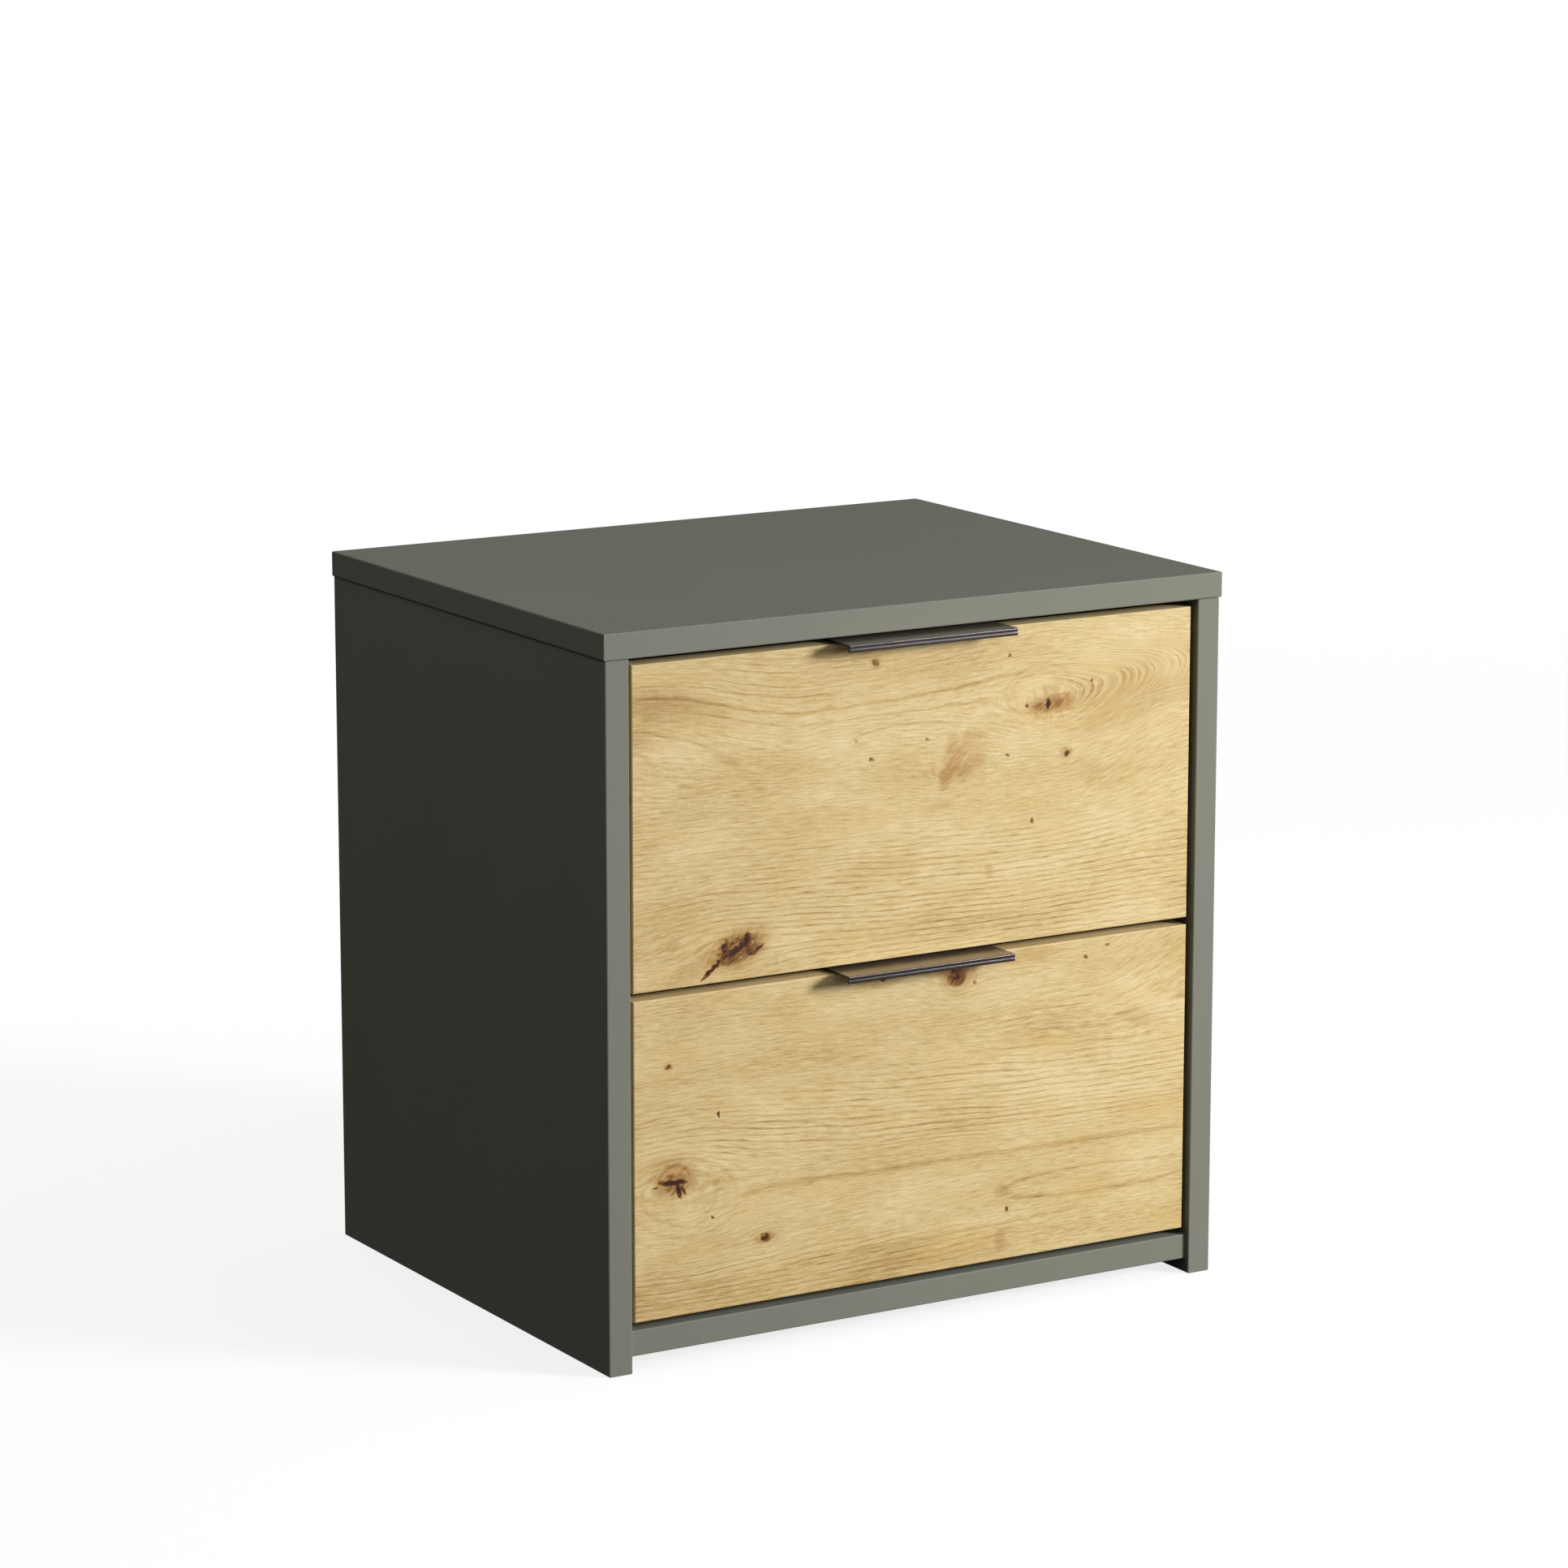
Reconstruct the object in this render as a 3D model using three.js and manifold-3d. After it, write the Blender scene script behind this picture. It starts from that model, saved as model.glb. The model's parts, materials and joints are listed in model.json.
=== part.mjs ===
// A nightstand with two inset drawers: laminated board, bottom-fixed roller runners and
// edge-pull handles. Millimetres, +Z up, the front looks towards -Y. The origin is on the
// floor, under the middle of the whole piece.
//
// Left is -X and right is +X, as someone who faces the drawers sees them.

import * as THREE from 'three';
import { mergeVertices } from 'three/addons/utils/BufferGeometryUtils.js';
import Module from 'manifold-3d';

const wasm = await Module();
wasm.setup();

// --- Carcass -------------------------------------------------------------------------------

const WIDTH = 436; // over the side panels
const HEIGHT = 450; // floor to the top face
const DEPTH = 354; // front edge to back edge of a side panel
const BOARD = 16; // carcass panels and drawer fronts
const ARRIS = 0.75; // rounding of a board's long edges
const TOP_OVERHANG = 1; // top panel past the sides and past their front edges
const FLOOR_CLEARANCE = 9.5; // floor to the bottom panel
const FRONT_RECESS = 3; // drawer fronts and bottom panel, behind the side panels' front edges
const JOINT_GAP = 0.25; // between pieces that are pressed together

// --- Hardboard sheets in grooves: the back panel and the drawer bottoms ---------------------

const HARDBOARD = 3;
const GROOVE_DEPTH = 6;
const GROOVE_PLAY = 0.25; // on each side of the sheet and at its edge
const BACK_INSET = 10; // behind the back panel's groove

// --- Drawer fronts --------------------------------------------------------------------------

const SIDE_GAP = 3.25; // between a front and each side panel
const HANDLE_GAP = 4.75; // above each front, where its handle passes
const BOTTOM_GAP = 4.5; // under the lowest front

// --- Drawer boxes ---------------------------------------------------------------------------

const BOX_BOARD = 12;
const BOX_HEIGHT = 130;
const BOX_RISE = 14; // lower edge of the front to the lower edge of the box
const BOTTOM_RISE = 10; // lower edge of the box to the groove of its bottom

// --- Roller runners -------------------------------------------------------------------------

const RUNNER_SPACE = 12.5; // side panel to drawer side
const RUNNER_SETBACK = 1; // back of the drawer front to the runner's front end
const RUNNER_BEHIND = 20.75; // runner's rear end to the back panel
const TRAVEL = 220; // how far a drawer rolls out
const STEEL = 1; // sheet of the rails
const BEND = 1; // bend radius at the middle of the sheet
const LIP_RISE = 3; // upturned edge of the cabinet rail, over its underside
const SUPPORT_WIDTH = 8; // drawer rail, under the drawer side
const ROLLER_RADIUS = 8;
const ROLLER_WIDTH = 6;
const ROLLER_PLAY = 0.25; // above, below and beside a roller
const FLANGE_PLAY = 0.5; // between the drawer rail's flange and the cabinet rail over it
const FLANGE_EDGE = 1.5; // drawer rail's flange to the cabinet rail's web
const PIN_RADIUS = 2;
const PIN_HEAD_RADIUS = 3;
const PIN_HEAD = 0.5;
const BORE_PLAY = 0.25;
const AXLE_INSET = 9; // rail's end to its roller's axis
const STOP_RISE = 3; // the stop in the cabinet rail's lane

// --- Screws and cam fittings ----------------------------------------------------------------

const SCREW_RADIUS = 1.75;
const SCREW_HEAD_RADIUS = 3.5;
const SCREW_HEAD = 0.5;
const SCREW_TIP = 2;
const SCREW_PLAY = 0.3; // round the shank and at its tip
const RAIL_SCREW_LENGTH = 11.5;
const RAIL_SCREW_INSET = 40; // rail's ends to its screws
const CAM_RADIUS = 7.5;
const CAM_DEPTH = 12.5;
const CAM_PLAY = 0.3;
const CAM_DROP = 24; // top edge of the side panel to the cam's axis
const CAM_INSET = 50; // side panel's front and back edges to the cam's axis
const CAM_SLOT = [8, 1.5, 2]; // length, width and depth of the screwdriver cross

// --- Handles --------------------------------------------------------------------------------

const HANDLE_LENGTH = 119;
const HANDLE_REACH = 17; // in front of the drawer front
const HANDLE_SHEET = 1.5;
const FLANGE_DROP = 12; // behind the drawer front
const NOSE_HEIGHT = 4;
const NOSE_THICKNESS = 2;
const NOSE_ROUND = 0.8;
const NOSE_GROOVE = 0.4; // radius of the groove along the nose
const HANDLE_SCREW_SPACING = 96;
const HANDLE_SCREW_DROP = 7; // top edge of the front to the screws
const HANDLE_SCREW_LENGTH = 12;

// --- Facets ---------------------------------------------------------------------------------

const OVERCUT = 1; // how far a cutting tool stands out of the piece
const WHEEL_SEGMENTS = 20;
const PIN_SEGMENTS = 12;
const CURVE_SEGMENTS = 3;

// --- Sizes that follow ----------------------------------------------------------------------

const INNER_WIDTH = WIDTH - 2 * BOARD;
const FRONT_EDGE = (HANDLE_REACH - FRONT_RECESS - DEPTH) / 2;
const SIDE_HEIGHT = HEIGHT - BOARD;
const GROOVE_WIDTH = HARDBOARD + 2 * GROOVE_PLAY;
const BACK_GROOVE = DEPTH - BACK_INSET - GROOVE_WIDTH; // front wall of the groove
const FLOOR_TOP = FLOOR_CLEARANCE + BOARD;

const DRAWERS = ['lower', 'upper'];
const FRONT_WIDTH = INNER_WIDTH - 2 * SIDE_GAP;
const FRONT_PITCH = (SIDE_HEIGHT - FLOOR_TOP - BOTTOM_GAP) / DRAWERS.length;
const FRONT_HEIGHT = FRONT_PITCH - HANDLE_GAP;
const FRONT_BACK = FRONT_RECESS + BOARD; // back of the drawer fronts, from the front edge
const BOX_WIDTH = INNER_WIDTH - 2 * RUNNER_SPACE;
const BOX_INNER = BOX_WIDTH - 2 * BOX_BOARD;

const RUNNER_LENGTH = BACK_GROOVE + GROOVE_PLAY - FRONT_BACK - RUNNER_SETBACK - RUNNER_BEHIND;
const RUNNER_RISE = BOX_RISE - JOINT_GAP - STEEL; // front's lower edge to the rails' underside
const AXLE_RISE = STEEL + ROLLER_PLAY + ROLLER_RADIUS;
const FLANGE_RISE = AXLE_RISE + ROLLER_RADIUS + ROLLER_PLAY; // underside of the running flange
const RAIL_TOP = FLANGE_RISE + STEEL + FLANGE_PLAY; // underside of the cabinet rail's top
const CABINET_WEB = JOINT_GAP + STEEL; // face of each web towards the rollers
const DRAWER_WEB = RUNNER_SPACE - JOINT_GAP - STEEL;
const ROLLER_NEAR = (RUNNER_SPACE - ROLLER_WIDTH) / 2;
const ROLLER_FAR = ROLLER_NEAR + ROLLER_WIDTH;
const BAY = AXLE_INSET + ROLLER_RADIUS + 2 * ROLLER_PLAY; // room for the front roller
const REAR_AXLE = RUNNER_LENGTH - AXLE_INSET;
const STOP = REAR_AXLE - TRAVEL - ROLLER_RADIUS - ROLLER_PLAY; // back of the stop
const RAIL_SCREWS = { front: RAIL_SCREW_INSET, rear: RUNNER_LENGTH - RAIL_SCREW_INSET };

const HANDS = { left: -1, right: 1 };
const drawerBase = (level) => FLOOR_TOP + BOTTOM_GAP + level * FRONT_PITCH;

// --- Finishes -------------------------------------------------------------------------------

const FINISHES = {
  laminate: { color: 0x6e6f66, roughness: 0.55, metalness: 0 },
  oak: { color: 0xd8bd8a, roughness: 0.5, metalness: 0 },
  boxBoard: { color: 0xe9e8e4, roughness: 0.5, metalness: 0 },
  hardboard: { color: 0xdedcd6, roughness: 0.6, metalness: 0 },
  steel: { color: 0xc9ccce, roughness: 0.4, metalness: 0.9 },
  nylon: { color: 0xeeeeea, roughness: 0.45, metalness: 0 },
  anthracite: { color: 0x35363b, roughness: 0.3, metalness: 0.9 },
  zinc: { color: 0xb4b6b8, roughness: 0.4, metalness: 1 },
};

// --- Shaping --------------------------------------------------------------------------------

function toSolid(geometry) {
  const bare = geometry.clone();
  bare.deleteAttribute('normal');
  bare.deleteAttribute('uv');
  const merged = mergeVertices(bare);
  const vertProperties = Float32Array.from(merged.getAttribute('position').array);
  const triVerts = Uint32Array.from(merged.index.array);
  return new wasm.Manifold(new wasm.Mesh({ numProp: 3, vertProperties, triVerts }));
}

function toGeometry(solid) {
  const { vertProperties, triVerts } = solid.getMesh();
  const geometry = new THREE.BufferGeometry();
  geometry.setAttribute('position', new THREE.BufferAttribute(vertProperties, 3));
  geometry.setIndex(new THREE.BufferAttribute(triVerts, 1));
  geometry.computeVertexNormals();
  return geometry;
}

function cut(geometry, tools) {
  return toGeometry(tools.reduce((rest, tool) => rest.subtract(toSolid(tool)), toSolid(geometry)));
}

function join(geometry, additions) {
  return toGeometry(additions.reduce((sum, more) => sum.add(toSolid(more)), toSolid(geometry)));
}

// Limits on one axis, for the left hand (-1) or the right hand (1).
function handed(hand, a, b) {
  return [hand * a, hand * b].sort((low, high) => low - high);
}

function middle([low, high]) {
  return (low + high) / 2;
}

// A square-edged block between limits on each axis.
function block(x, y, z) {
  const box = new THREE.BoxGeometry(x[1] - x[0], y[1] - y[0], z[1] - z[0]);
  return box.translate(middle(x), middle(y), middle(z));
}

// A board between limits on each axis, with rounded arrises. `normal` is its thickness axis.
function board(normal, x, y, z) {
  const size = { x: x[1] - x[0], y: y[1] - y[0], z: z[1] - z[0] };
  const length = normal === 'x' ? size.z : size.x;
  const width = normal === 'y' ? size.z : size.y;
  const face = new THREE.Shape();
  face.moveTo(-length / 2, -width / 2);
  face.lineTo(length / 2, -width / 2);
  face.lineTo(length / 2, width / 2);
  face.lineTo(-length / 2, width / 2);
  face.closePath();
  const core = size[normal] - 2 * ARRIS;
  const slab = new THREE.ExtrudeGeometry(face, {
    depth: core,
    bevelThickness: ARRIS,
    bevelSize: ARRIS,
    bevelOffset: -ARRIS,
    bevelSegments: 2,
  });
  slab.translate(0, 0, -core / 2);
  if (normal === 'x') slab.rotateY(Math.PI / 2);
  if (normal === 'y') slab.rotateX(Math.PI / 2);
  return slab.translate(middle(x), middle(y), middle(z));
}

// Round bars along X and along Y.
function barX(radius, x, y, z, segments = PIN_SEGMENTS) {
  const bar = new THREE.CylinderGeometry(radius, radius, x[1] - x[0], segments);
  return bar.rotateZ(Math.PI / 2).translate(middle(x), y, z);
}

function barY(radius, x, y, z) {
  const bar = new THREE.CylinderGeometry(radius, radius, y[1] - y[0], PIN_SEGMENTS);
  return bar.translate(x, middle(y), z);
}

// A closed profile of [radius, height] points, revolved; its axis then lies along +X.
function revolved(profile, segments) {
  const points = profile.map(([radius, height]) => new THREE.Vector2(radius, height));
  return new THREE.LatheGeometry(points, segments).rotateZ(-Math.PI / 2);
}

// The outline of a sheet that is bent at each inner point of its middle line.
function bentSheet(middleLine) {
  const points = middleLine.map(([x, z]) => new THREE.Vector2(x, z));
  const left = [];
  const right = [];
  const mark = (point, angle) => {
    const normal = new THREE.Vector2(-Math.sin(angle), Math.cos(angle));
    left.push(point.clone().addScaledVector(normal, STEEL / 2));
    right.unshift(point.clone().addScaledVector(normal, -STEEL / 2));
  };
  const heading = (from, to) => Math.atan2(to.y - from.y, to.x - from.x);
  mark(points[0], heading(points[0], points[1]));
  for (let i = 1; i < points.length - 1; i += 1) {
    const before = heading(points[i - 1], points[i]);
    const after = heading(points[i], points[i + 1]);
    const turn = Math.atan2(Math.sin(after - before), Math.cos(after - before));
    const radius = Math.sign(turn) * BEND;
    const back = BEND * Math.tan(Math.abs(turn) / 2);
    const centre = new THREE.Vector2(
      points[i].x - back * Math.cos(before) - radius * Math.sin(before),
      points[i].y - back * Math.sin(before) + radius * Math.cos(before),
    );
    for (let step = 0; step <= CURVE_SEGMENTS; step += 1) {
      const angle = before + (turn * step) / CURVE_SEGMENTS;
      const out = new THREE.Vector2(Math.sin(angle), -Math.cos(angle));
      mark(centre.clone().addScaledVector(out, radius), angle);
    }
  }
  const last = points[points.length - 1];
  mark(last, heading(points[points.length - 2], last));
  return new THREE.Shape([...left, ...right]);
}

// Profiles drawn in X and Z and pulled along Y, and drawn in Y and Z and pulled along X.
function pulledAlongY(profile, y) {
  const pulled = new THREE.ExtrudeGeometry(profile, { depth: y[1] - y[0], bevelEnabled: false });
  return pulled.rotateX(Math.PI / 2).translate(0, y[1], 0);
}

function pulledAlongX(profile, length) {
  const pulled = new THREE.ExtrudeGeometry(profile, {
    depth: length,
    bevelEnabled: false,
    curveSegments: CURVE_SEGMENTS,
  });
  return pulled.rotateX(Math.PI / 2).rotateZ(Math.PI / 2).translate(-length / 2, 0, 0);
}

function piece(name, finish, geometry, x = 0, y = 0, z = 0) {
  const mesh = new THREE.Mesh(geometry, new THREE.MeshStandardMaterial(FINISHES[finish]));
  mesh.name = name;
  mesh.position.set(x, y, z);
  return mesh;
}

// --- Carcass pieces. y is measured from the side panels' front edges -------------------------

function topPanel() {
  const halfWidth = WIDTH / 2 + TOP_OVERHANG;
  const panel = board('z', [-halfWidth, halfWidth], [-TOP_OVERHANG, DEPTH], [0, BOARD]);
  const grooveEnd = INNER_WIDTH / 2 + GROOVE_DEPTH;
  const groove = block(
    [-grooveEnd, grooveEnd],
    [BACK_GROOVE, BACK_GROOVE + GROOVE_WIDTH],
    [-OVERCUT, GROOVE_DEPTH],
  );
  return cut(panel, [groove]);
}

// Its own x is 0 on the inner face.
function sidePanel(hand) {
  const height = SIDE_HEIGHT - JOINT_GAP;
  const panel = board('x', handed(hand, 0, BOARD), [0, DEPTH], [0, height]);
  const groove = block(
    handed(hand, -OVERCUT, GROOVE_DEPTH),
    [BACK_GROOVE, BACK_GROOVE + GROOVE_WIDTH],
    [-OVERCUT, height + OVERCUT],
  );
  const pocket = handed(hand, -OVERCUT, CAM_DEPTH + CAM_PLAY);
  const pockets = camPlaces().map(({ y, z }) =>
    barX(CAM_RADIUS + CAM_PLAY, pocket, y, z, WHEEL_SEGMENTS),
  );
  const pilot = handed(hand, -OVERCUT, RAIL_SCREW_LENGTH);
  const pilots = DRAWERS.flatMap((_, level) =>
    Object.values(RAIL_SCREWS).map((along) => {
      const y = FRONT_BACK + RUNNER_SETBACK + along;
      const z = drawerBase(level) + RUNNER_RISE + AXLE_RISE;
      return barX(SCREW_RADIUS + SCREW_PLAY, pilot, y, z);
    }),
  );
  return cut(panel, [groove, ...pockets, ...pilots]);
}

function bottomPanel() {
  const halfWidth = INNER_WIDTH / 2 - JOINT_GAP;
  return board('z', [-halfWidth, halfWidth], [FRONT_RECESS, BACK_GROOVE], [0, BOARD]);
}

function backPanel() {
  const halfWidth = INNER_WIDTH / 2 + GROOVE_DEPTH - GROOVE_PLAY;
  const top = SIDE_HEIGHT + GROOVE_DEPTH - GROOVE_PLAY;
  return block([-halfWidth, halfWidth], [0, HARDBOARD], [0, top - FLOOR_CLEARANCE]);
}

function camPlaces() {
  const z = SIDE_HEIGHT - JOINT_GAP - CAM_DROP;
  return [
    { name: 'front', y: CAM_INSET, z },
    { name: 'rear', y: DEPTH - CAM_INSET, z },
  ];
}

// A cam fitting, flush with the panel's face, with a cross for the screwdriver.
function cam(hand) {
  const [length, width, depth] = CAM_SLOT;
  const slot = handed(hand, -OVERCUT, depth);
  const body = barX(CAM_RADIUS, handed(hand, 0, CAM_DEPTH), 0, 0, WHEEL_SEGMENTS);
  return cut(body, [
    block(slot, [-length / 2, length / 2], [-width / 2, width / 2]),
    block(slot, [-width / 2, width / 2], [-length / 2, length / 2]),
  ]);
}

function carcass() {
  const group = new THREE.Group();
  group.add(piece('top_panel', 'laminate', topPanel(), 0, 0, SIDE_HEIGHT));
  group.add(piece('bottom_panel', 'laminate', bottomPanel(), 0, 0, FLOOR_CLEARANCE));
  const backY = BACK_GROOVE + GROOVE_PLAY;
  group.add(piece('back_panel', 'hardboard', backPanel(), 0, backY, FLOOR_CLEARANCE));
  for (const [side, hand] of Object.entries(HANDS)) {
    const x = (hand * INNER_WIDTH) / 2;
    group.add(piece(`side_panel_${side}`, 'laminate', sidePanel(hand), x));
    for (const { name, y, z } of camPlaces()) {
      group.add(piece(`cam_${side}_${name}`, 'zinc', cam(hand), x, y, z));
    }
    DRAWERS.forEach((drawer, level) => {
      const rail = cabinetRunner(`${drawer}_${side}`, hand);
      rail.position.set(x, FRONT_BACK + RUNNER_SETBACK, drawerBase(level) + RUNNER_RISE);
      group.add(rail);
    });
  }
  return group;
}

// --- Runners. x is measured from the side panel's inner face towards the drawer, y from the
// --- rails' front ends and z from their underside; `inward` is -1 on the right -----------------

// An open channel: its lower flange is the rollers' lane, its upper one keeps the drawer down.
// Both stop behind the front roller, whose pin is riveted to the web.
function cabinetRail(inward) {
  const webMiddle = JOINT_GAP + STEEL / 2;
  const lipMiddle = ROLLER_FAR + FLANGE_PLAY + STEEL / 2;
  const channel = bentSheet([
    [inward * lipMiddle, LIP_RISE],
    [inward * lipMiddle, STEEL / 2],
    [inward * webMiddle, STEEL / 2],
    [inward * webMiddle, RAIL_TOP + STEEL / 2],
    [inward * lipMiddle, RAIL_TOP + STEEL / 2],
  ]);
  const lane = handed(inward, CABINET_WEB - STEEL / 2, lipMiddle);
  const rail = join(pulledAlongY(channel, [0, RUNNER_LENGTH]), [
    block(lane, [STOP - STEEL, STOP], [STEEL / 2, STOP_RISE]),
    pin(inward, CABINET_WEB, ROLLER_FAR, AXLE_INSET),
  ]);
  const beside = handed(inward, CABINET_WEB, RUNNER_SPACE);
  const hole = handed(inward, -OVERCUT, CABINET_WEB + OVERCUT);
  return cut(rail, [
    block(beside, [-OVERCUT, BAY], [-OVERCUT, STEEL + ROLLER_PLAY / 2]),
    block(beside, [-OVERCUT, BAY], [RAIL_TOP - FLANGE_PLAY / 2, RAIL_TOP + STEEL + OVERCUT]),
    ...screwHoles(hole),
  ]);
}

// A Z-shaped rail: it carries the drawer side on its foot, and runs on its outward flange.
// The rear roller's pin is riveted to its web.
function drawerRail(inward) {
  const webMiddle = DRAWER_WEB + STEEL / 2;
  const section = bentSheet([
    [inward * (CABINET_WEB + FLANGE_EDGE), FLANGE_RISE + STEEL / 2],
    [inward * webMiddle, FLANGE_RISE + STEEL / 2],
    [inward * webMiddle, STEEL / 2],
    [inward * (RUNNER_SPACE + SUPPORT_WIDTH), STEEL / 2],
  ]);
  const rail = join(pulledAlongY(section, [0, RUNNER_LENGTH]), [
    pin(inward, DRAWER_WEB, ROLLER_NEAR, REAR_AXLE),
  ]);
  return cut(rail, screwHoles(handed(inward, DRAWER_WEB - OVERCUT, RUNNER_SPACE)));
}

function screwHoles(x) {
  return Object.values(RAIL_SCREWS).map((y) => barX(SCREW_RADIUS + SCREW_PLAY, x, y, AXLE_RISE));
}

// A headed pin from the face of a web, through the roller and past its far face.
function pin(inward, web, rollerFace, y) {
  const away = Math.sign(rollerFace - web);
  const head = rollerFace + away * ROLLER_PLAY;
  const root = web - (away * STEEL) / 2;
  const shank = barX(PIN_RADIUS, handed(inward, root, head + (away * PIN_HEAD) / 2), y, AXLE_RISE);
  const cap = barX(PIN_HEAD_RADIUS, handed(inward, head, head + away * PIN_HEAD), y, AXLE_RISE);
  return join(shank, [cap]);
}

// A nylon wheel with rounded shoulders and a dished face. Its own origin is its centre.
function roller() {
  const half = ROLLER_WIDTH / 2;
  const bore = PIN_RADIUS + BORE_PLAY;
  const hub = bore + 1.75;
  const rim = ROLLER_RADIUS - 1.5;
  const shoulder = 0.5;
  const dish = 1;
  return revolved(
    [
      [bore, -half],
      [ROLLER_RADIUS - shoulder, -half],
      [ROLLER_RADIUS, shoulder - half],
      [ROLLER_RADIUS, half - shoulder],
      [ROLLER_RADIUS - shoulder, half],
      [rim, half],
      [rim - shoulder, half - dish],
      [hub + shoulder, half - dish],
      [hub, half],
      [bore, half],
      [bore, -half],
    ],
    WHEEL_SEGMENTS,
  );
}

// Its own x is 0 under the head, and its shank points along +X.
function screw(length) {
  return revolved(
    [
      [0, -SCREW_HEAD],
      [SCREW_HEAD_RADIUS, -SCREW_HEAD],
      [SCREW_HEAD_RADIUS, 0],
      [SCREW_RADIUS, 0],
      [SCREW_RADIUS, length - SCREW_TIP],
      [0, length],
    ],
    PIN_SEGMENTS,
  );
}

function addRailScrews(group, name, x, outward) {
  for (const [place, y] of Object.entries(RAIL_SCREWS)) {
    const geometry = screw(RAIL_SCREW_LENGTH);
    const fastener = piece(`${name}_${place}`, 'zinc', geometry, x, y, AXLE_RISE);
    fastener.rotation.z = outward > 0 ? 0 : Math.PI;
    group.add(fastener);
  }
}

function addRoller(group, name, inward, y) {
  const wheel = piece(name, 'nylon', roller(), (inward * RUNNER_SPACE) / 2, y, AXLE_RISE);
  group.add(wheel);
}

function cabinetRunner(place, hand) {
  const group = new THREE.Group();
  const inward = -hand;
  group.add(piece(`cabinet_rail_${place}`, 'steel', cabinetRail(inward)));
  addRoller(group, `cabinet_roller_${place}`, inward, AXLE_INSET);
  addRailScrews(group, `cabinet_rail_screw_${place}`, inward * (CABINET_WEB + JOINT_GAP), hand);
  return group;
}

function drawerRunner(drawer, side, hand) {
  const group = new THREE.Group();
  const inward = -hand;
  group.add(piece(`${drawer}_drawer_rail_${side}`, 'steel', drawerRail(inward)));
  addRoller(group, `${drawer}_drawer_roller_${side}`, inward, REAR_AXLE);
  const x = inward * (DRAWER_WEB - JOINT_GAP);
  addRailScrews(group, `${drawer}_drawer_rail_screw_${side}`, x, inward);
  return group;
}

// --- Drawer pieces. y is measured from the back of the drawer front, z from its lower edge ---

const BOTTOM_GROOVE = [BOX_RISE + BOTTOM_RISE, BOX_RISE + BOTTOM_RISE + GROOVE_WIDTH];
const HANDLE_SCREWS = { left: -HANDLE_SCREW_SPACING / 2, right: HANDLE_SCREW_SPACING / 2 };

function drawerFront() {
  const halfWidth = FRONT_WIDTH / 2;
  const panel = board('y', [-halfWidth, halfWidth], [-BOARD, 0], [0, FRONT_HEIGHT]);
  const grooveEnd = BOX_INNER / 2 + GROOVE_DEPTH;
  const groove = block([-grooveEnd, grooveEnd], [-GROOVE_DEPTH, OVERCUT], BOTTOM_GROOVE);
  const pilotEnd = HANDLE_SHEET + 2 * JOINT_GAP - HANDLE_SCREW_LENGTH - SCREW_PLAY;
  const pilots = Object.values(HANDLE_SCREWS).map((x) =>
    barY(SCREW_RADIUS + SCREW_PLAY, x, [pilotEnd, OVERCUT], FRONT_HEIGHT - HANDLE_SCREW_DROP),
  );
  return cut(panel, [groove, ...pilots]);
}

// Its own x is 0 on the outer face.
function drawerSide(hand) {
  const y = [JOINT_GAP, RUNNER_SETBACK + RUNNER_LENGTH];
  const panel = board('x', handed(hand, -BOX_BOARD, 0), y, [BOX_RISE, BOX_RISE + BOX_HEIGHT]);
  const groove = block(
    handed(hand, -BOX_BOARD - OVERCUT, GROOVE_DEPTH - BOX_BOARD),
    [y[0] - OVERCUT, y[1] + OVERCUT],
    BOTTOM_GROOVE,
  );
  const pilotEnd = RAIL_SCREW_LENGTH - STEEL - 2 * JOINT_GAP + SCREW_PLAY;
  const pilots = Object.values(RAIL_SCREWS).map((along) =>
    barX(
      SCREW_RADIUS + SCREW_PLAY,
      handed(hand, -pilotEnd, OVERCUT),
      RUNNER_SETBACK + along,
      RUNNER_RISE + AXLE_RISE,
    ),
  );
  return cut(panel, [groove, ...pilots]);
}

function drawerBack() {
  const halfWidth = BOX_INNER / 2 - JOINT_GAP;
  const panel = board('y', [-halfWidth, halfWidth], [0, BOX_BOARD], [BOX_RISE, BOX_RISE + BOX_HEIGHT]);
  const groove = block(
    [-halfWidth - OVERCUT, halfWidth + OVERCUT],
    [-OVERCUT, GROOVE_DEPTH],
    BOTTOM_GROOVE,
  );
  return cut(panel, [groove]);
}

function drawerBottom(backY) {
  const inGroove = GROOVE_DEPTH - GROOVE_PLAY;
  const halfWidth = BOX_INNER / 2 + inGroove;
  return block([-halfWidth, halfWidth], [-inGroove, backY + inGroove], [0, HARDBOARD]);
}

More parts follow.
